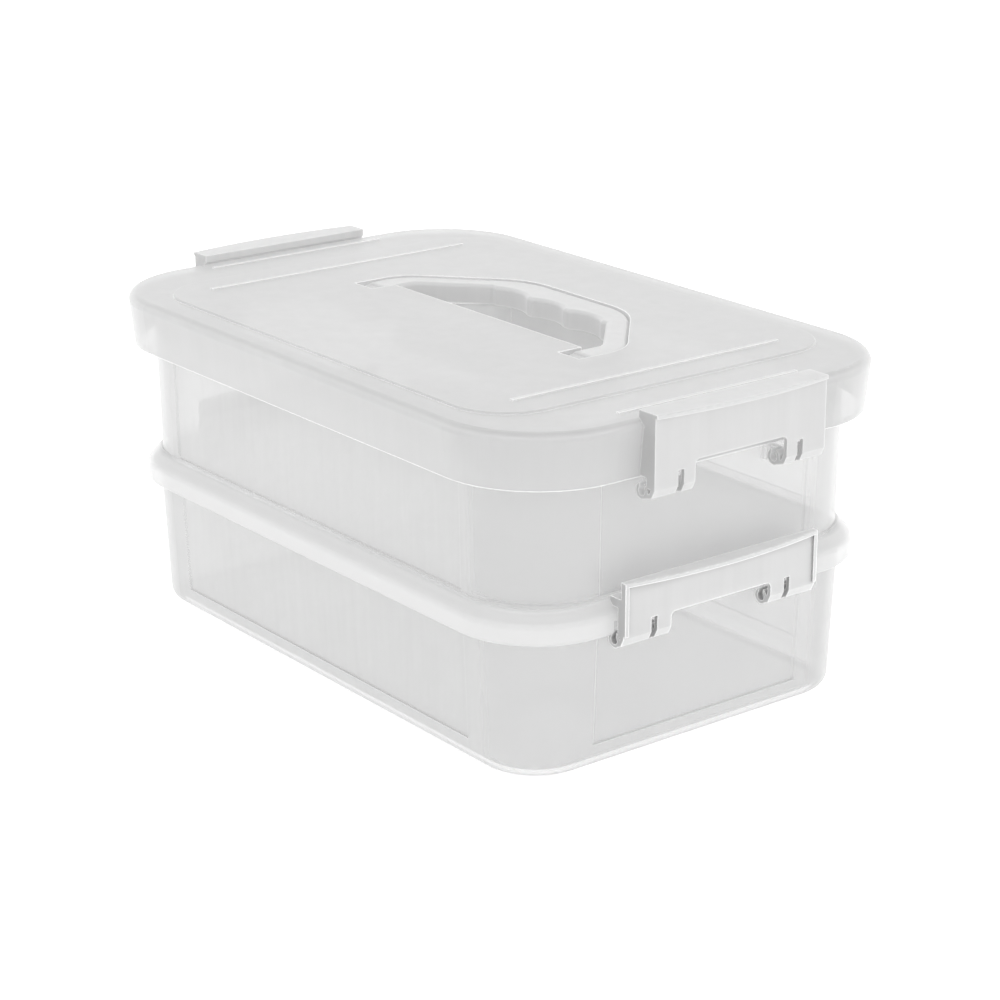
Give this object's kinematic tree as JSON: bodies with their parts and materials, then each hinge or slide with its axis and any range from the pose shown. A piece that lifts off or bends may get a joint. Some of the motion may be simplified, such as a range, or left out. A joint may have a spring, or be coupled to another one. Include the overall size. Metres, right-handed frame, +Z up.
{
  "type": "stackable pencil organizer with handle",
  "caption": "Stackable clear plastic carry box for pencils and crafts: a deep box, a nesting upper tray, a lid with a fold-down handle, and swing latches at the ends.",
  "frame": {"origin": "middle of the box's footprint, on the surface it stands on", "axes": "+X along the box towards one latched end, +Y across it towards the grip of the folded handle, +Z up"},
  "size_m": [0.2906, 0.1794, 0.1294],
  "materials": {
    "clear_polypropylene": "glossy, see-through",
    "milky_polypropylene": "satin gloss, milky",
    "latch_polypropylene": "satin gloss, greyish milky"
  },
  "bodies": {
    "lower_box": {"lower_box": "clear_polypropylene"},
    "upper_tray": {"upper_tray": "clear_polypropylene"},
    "lid": {"lid": "milky_polypropylene"},
    "handle": {"handle": "latch_polypropylene"},
    "upper_latch_right": {"upper_latch_right": "latch_polypropylene"},
    "upper_latch_left": {"upper_latch_left": "latch_polypropylene"},
    "lower_latch_right": {"lower_latch_right": "latch_polypropylene"},
    "lower_latch_left": {"lower_latch_left": "latch_polypropylene"}
  },
  "joints": [
    {"name": "tray_lift", "type": "slide", "parent": "lower_box", "child": "upper_tray", "axis": [0, 0, 1], "range_m": [0, 0.018]},
    {"name": "lid_lift", "type": "slide", "parent": "upper_tray", "child": "lid", "axis": [0, 0, 1], "range_m": [0, 0.038]},
    {"name": "handle_fold", "type": "hinge", "parent": "lid", "child": "handle", "pos_m": [0, -0.0045, 0.121], "axis": [1, 0, 0], "range_deg": [0, 90]},
    {"name": "lower_latch_right_swing", "type": "hinge", "parent": "lower_box", "child": "lower_latch_right", "pos_m": [0.1285, 0, 0.0489], "axis": [0, 1, 0], "range_deg": [0, 105]},
    {"name": "lower_latch_left_swing", "type": "hinge", "parent": "lower_box", "child": "lower_latch_left", "pos_m": [-0.1285, 0, 0.0489], "axis": [0, -1, 0], "range_deg": [0, 105]},
    {"name": "upper_latch_right_swing", "type": "hinge", "parent": "upper_tray", "child": "upper_latch_right", "pos_m": [0.135, 0, 0.102], "axis": [0, 1, 0], "range_deg": [0, 110]},
    {"name": "upper_latch_left_swing", "type": "hinge", "parent": "upper_tray", "child": "upper_latch_left", "pos_m": [-0.135, 0, 0.102], "axis": [0, -1, 0], "range_deg": [0, 110]}
  ],
  "couplings": [
    {"joint": "lower_latch_right_swing", "follows": "tray_lift", "rad_per_m": 101.8},
    {"joint": "lower_latch_left_swing", "follows": "tray_lift", "rad_per_m": 101.8},
    {"joint": "upper_latch_right_swing", "follows": "lid_lift", "rad_per_m": 50.5},
    {"joint": "upper_latch_left_swing", "follows": "lid_lift", "rad_per_m": 50.5}
  ]
}
